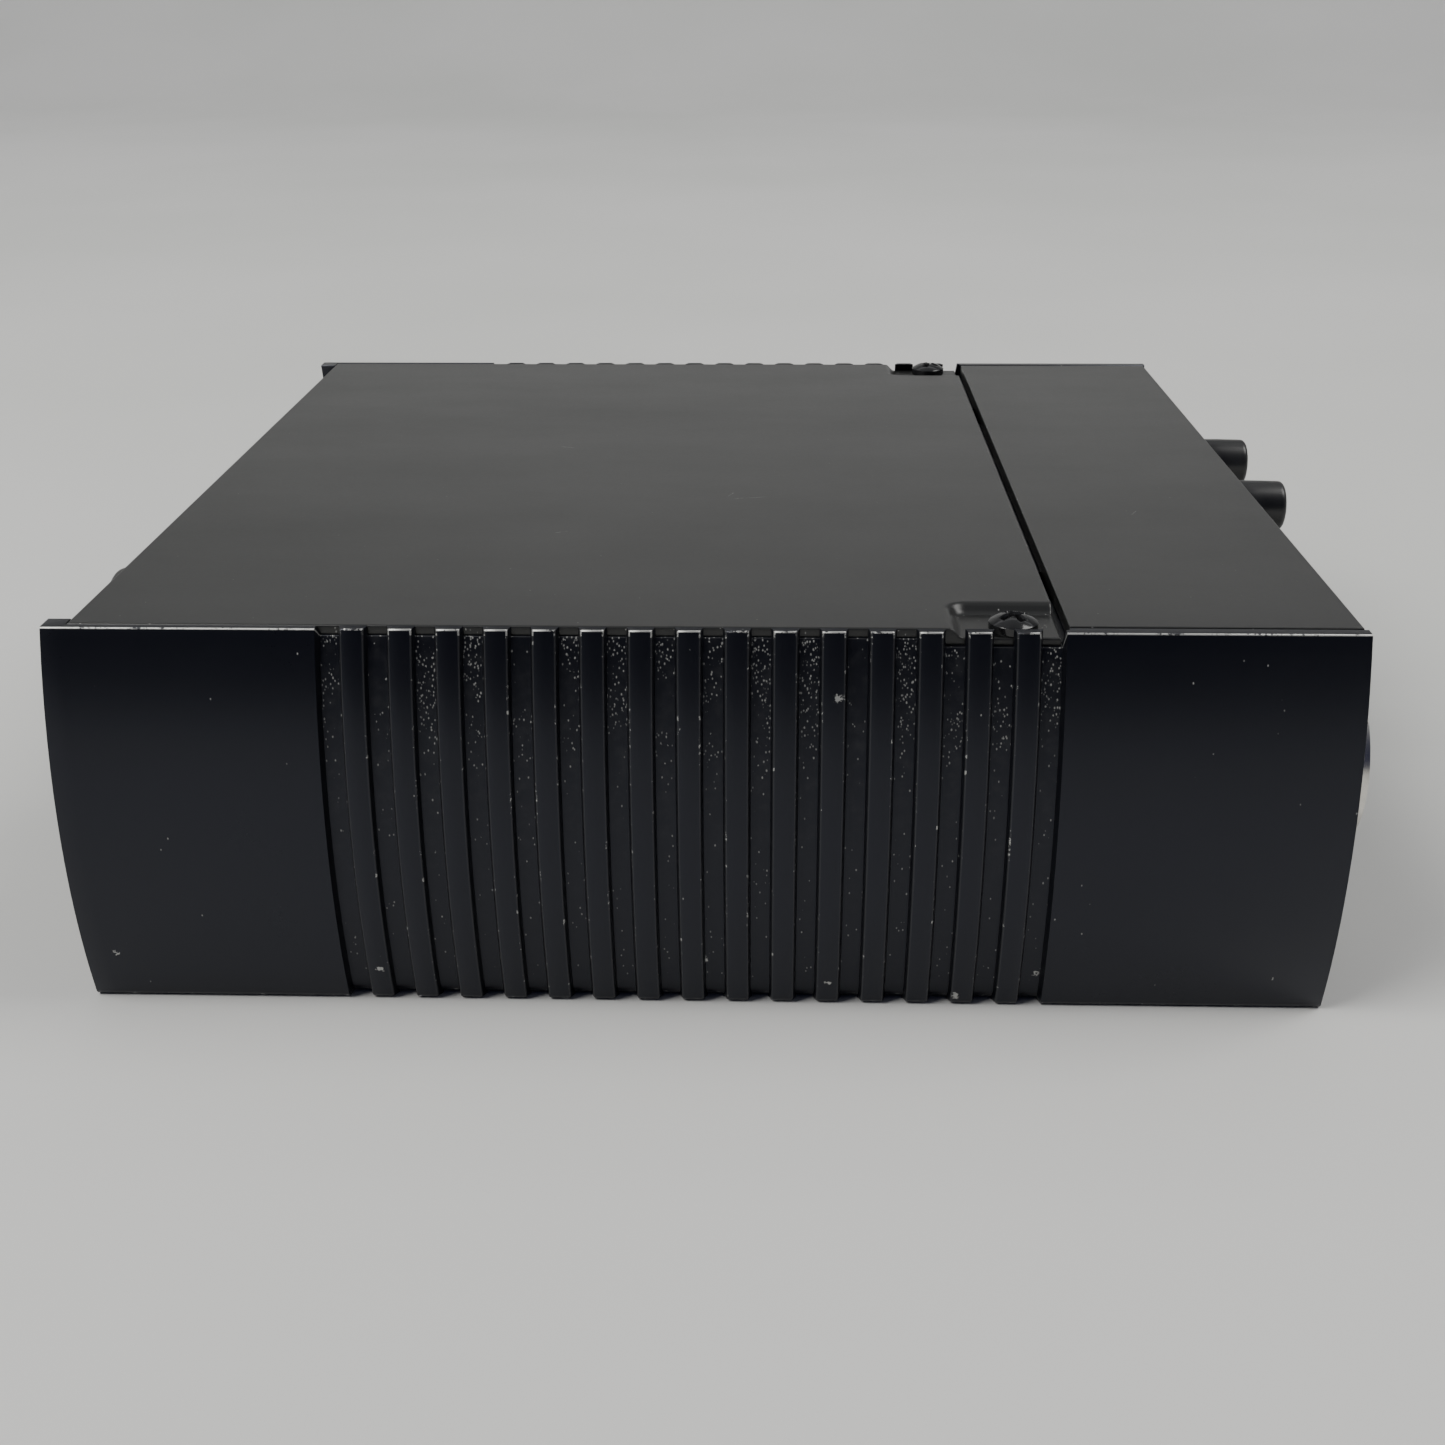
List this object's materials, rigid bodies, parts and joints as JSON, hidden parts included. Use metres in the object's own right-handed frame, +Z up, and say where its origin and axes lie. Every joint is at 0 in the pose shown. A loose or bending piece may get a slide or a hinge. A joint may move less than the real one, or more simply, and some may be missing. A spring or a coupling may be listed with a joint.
{
  "type": "direct injection box",
  "caption": "Compact direct injection box with ribbed die-cast sides, screwed cover, sliding battery lid, jack inputs and three-pin output.",
  "frame": {"origin": "centre of the case's underside, on the surface it rests on", "axes": "+X from the input end to the output end, +Y from the near cheek to the far cheek, +Z up"},
  "size_m": [0.1535, 0.1366, 0.0453],
  "materials": {
    "case_paint": "satin black baked paint, worn to metal along the edges",
    "cover_paint": "satin black baked paint",
    "lid_paint": "satin black baked paint",
    "panel_paint": "satin black baked paint",
    "screw_black": "glossy black oxide",
    "nickel": "bright nickel plate",
    "steel": "brushed",
    "brass_contact": "spring brass",
    "gold_pin": "silver plated brass",
    "socket_black": "moulded",
    "knob_grey": "satin moulded",
    "button_black": "semi-gloss moulded",
    "led_red": "tinted lens",
    "board_green": "solder mask",
    "header_white": "moulded",
    "core_steel": "laminated, varnished",
    "coil_wrap": "varnished tape",
    "chip_black": "moulded epoxy",
    "cap_sleeve": "shrink sleeve",
    "resistor_tan": "lacquered",
    "cell_skin": "printed steel jacket, left plain",
    "snap_black": "vinyl",
    "wire_red": "vinyl insulation",
    "wire_white": "vinyl insulation",
    "foam": "open-cell foam"
  },
  "bodies": {
    "case": {"case_body": "case_paint", "top_cover": "cover_paint", "cover_screws": "screw_black", "input_panel": "panel_paint", "output_panel": "panel_paint", "jack_bodies": "socket_black", "jack_bushes": "nickel", "jack_washers": "nickel", "jack_nuts": "nickel", "jack_contacts": "brass_contact", "pot_body": "steel", "pot_bush": "nickel", "pot_nut": "nickel", "status_led": "led_red", "xlr_shell": "nickel", "xlr_insert": "socket_black", "xlr_pins": "gold_pin", "xlr_screws": "screw_black", "switch_bodies": "socket_black", "main_board": "board_green", "board_screws": "steel", "board_headers": "header_white", "transformer_core": "core_steel", "transformer_coil": "coil_wrap", "signal_chips": "chip_black", "filter_capacitors": "cap_sleeve", "resistors": "resistor_tan", "battery": "cell_skin", "battery_terminals": "nickel", "battery_snap": "snap_black", "battery_leads": "wire_red", "output_leads": "wire_white", "foam_pad": "foam"},
    "knob": {"level_knob": "knob_grey", "pot_shaft": "steel"},
    "lift_push": {"lift_button": "button_black"},
    "pad_push": {"pad_button": "button_black"},
    "lid": {"battery_lid": "lid_paint"}
  },
  "joints": [
    {"name": "level_knob_turn", "type": "hinge", "parent": "case", "child": "knob", "pos_m": [-0.06635, -0.024, 0.031], "axis": [-1, 0, 0], "range_deg": [-150, 150]},
    {"name": "lift_button_push", "type": "slide", "parent": "case", "child": "lift_push", "axis": [-1, 0, 0], "range_m": [0, 0.003], "stiffness_N_per_m": 400, "springref_m": -0.002},
    {"name": "pad_button_push", "type": "slide", "parent": "case", "child": "pad_push", "axis": [-1, 0, 0], "range_m": [0, 0.003], "stiffness_N_per_m": 400, "springref_m": -0.002},
    {"name": "battery_lid_slide", "type": "slide", "parent": "case", "child": "lid", "axis": [1, 0, 0], "range_m": [0, 0.034]}
  ]
}
